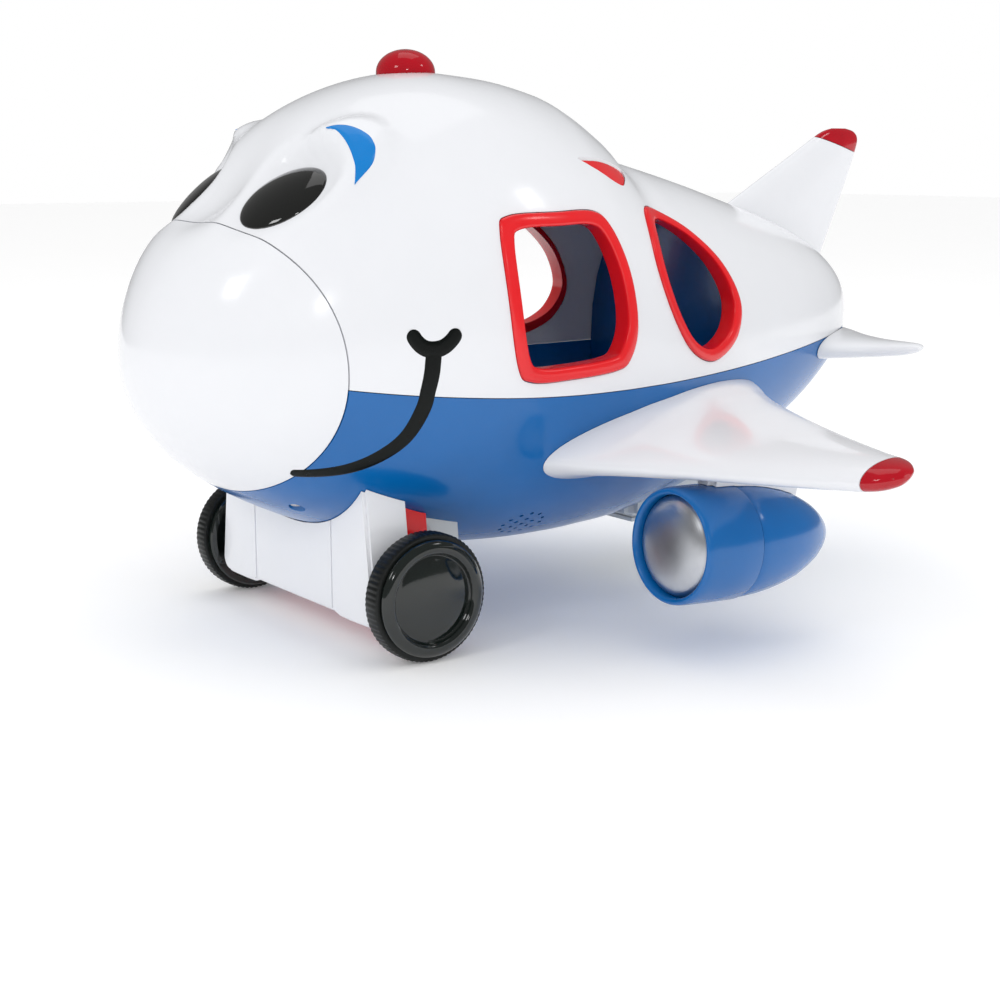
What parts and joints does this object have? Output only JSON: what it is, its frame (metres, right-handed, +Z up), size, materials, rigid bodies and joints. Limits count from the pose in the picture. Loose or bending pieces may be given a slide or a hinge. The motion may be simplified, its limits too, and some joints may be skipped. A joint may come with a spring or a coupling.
{
  "type": "toy airplane",
  "caption": "Hollow toddler's airplane with a cartoon face that sorts shape blocks through its open windows and drives on geared front wheels and a swivelling caster.",
  "frame": {"origin": "on the ground under the middle of the outer box", "axes": "+Z up, nose towards -Y, +X is the airplane's own left, so the wings run along X"},
  "size_m": [0.4, 0.365, 0.2178],
  "materials": {
    "white_plastic": "glossy ABS",
    "blue_plastic": "glossy ABS",
    "red_plastic": "glossy ABS",
    "dark_red_plastic": "clear tinted, polished",
    "black_plastic": "glossy",
    "tread_rubber": "ribbed, half-glossy",
    "grey_plastic": "satin",
    "silver_disc": "turned, brushed in circles",
    "steel": "plain",
    "gear_nylon": "moulded",
    "board": "solder mask",
    "cell": "wrapped can"
  },
  "bodies": {
    "airframe": {"battery_1": "cell", "battery_2": "cell", "battery_3": "cell", "battery_box": "grey_plastic", "battery_door": "grey_plastic", "battery_door_screw": "steel", "belly_housing": "grey_plastic", "cabin_tub": "blue_plastic", "circuit_board": "board", "drive_motor": "cell", "drop_window_frame_L": "red_plastic", "drop_window_frame_R": "red_plastic", "engine_cone_L": "blue_plastic", "engine_cone_R": "blue_plastic", "engine_cowl_L": "blue_plastic", "engine_cowl_R": "blue_plastic", "engine_disc_L": "silver_disc", "engine_disc_R": "silver_disc", "engine_pylon_L": "white_plastic", "engine_pylon_R": "white_plastic", "eye_L": "black_plastic", "eye_R": "black_plastic", "fin_cap": "dark_red_plastic", "gear_housing": "white_plastic", "gearbox_cover": "grey_plastic", "gearbox_frame": "red_plastic", "idler_pin": "steel", "lower_shell": "blue_plastic", "nose_cap": "white_plastic", "receiver_dome": "dark_red_plastic", "shell_screw_1L": "steel", "shell_screw_1R": "steel", "shell_screw_2L": "steel", "shell_screw_2R": "steel", "shoulder_panel_L": "red_plastic", "shoulder_panel_R": "red_plastic", "speaker": "cell", "square_window_frame_L": "red_plastic", "square_window_frame_R": "red_plastic", "stabilizer_L": "white_plastic", "stabilizer_R": "white_plastic", "tail_fin": "white_plastic", "upper_shell": "white_plastic", "wing_L": "white_plastic", "wing_R": "white_plastic", "wing_tip_L": "dark_red_plastic", "wing_tip_R": "dark_red_plastic"},
    "drive_axle": {"front_axle": "steel", "axle_gear": "gear_nylon", "wheel_L": "black_plastic", "wheel_R": "black_plastic", "tyre_L": "tread_rubber", "tyre_R": "tread_rubber"},
    "idler": {"idler_gear": "gear_nylon"},
    "pinion": {"motor_pinion": "steel"},
    "caster_swivel": {"caster_fork": "grey_plastic", "caster_pin": "steel"},
    "caster_roller": {"caster_wheel": "black_plastic"},
    "switch_knob": {"power_switch": "black_plastic"}
  },
  "joints": [
    {"name": "axle_spin", "type": "hinge", "parent": "airframe", "child": "drive_axle", "pos_m": [0, -0.1025, 0.0235], "axis": [1, 0, 0], "continuous": true},
    {"name": "idler_spin", "type": "hinge", "parent": "airframe", "child": "idler", "pos_m": [0, -0.09876, 0.03378], "axis": [1, 0, 0], "continuous": true},
    {"name": "pinion_spin", "type": "hinge", "parent": "airframe", "child": "pinion", "pos_m": [0, -0.09038, 0.04081], "axis": [1, 0, 0], "continuous": true},
    {"name": "caster_turn", "type": "hinge", "parent": "airframe", "child": "caster_swivel", "pos_m": [0, 0.0915, 0.03], "axis": [0, 0, 1], "continuous": true},
    {"name": "caster_roll", "type": "hinge", "parent": "caster_swivel", "child": "caster_roller", "pos_m": [0, 0.0985, 0.0115], "axis": [1, 0, 0], "continuous": true},
    {"name": "switch_slide", "type": "slide", "parent": "airframe", "child": "switch_knob", "axis": [0, 1, 0], "range_m": [0, 0.004]}
  ],
  "couplings": [
    {"joint": "idler_spin", "follows": "axle_spin", "ratio": -3},
    {"joint": "pinion_spin", "follows": "axle_spin", "ratio": 9}
  ]
}
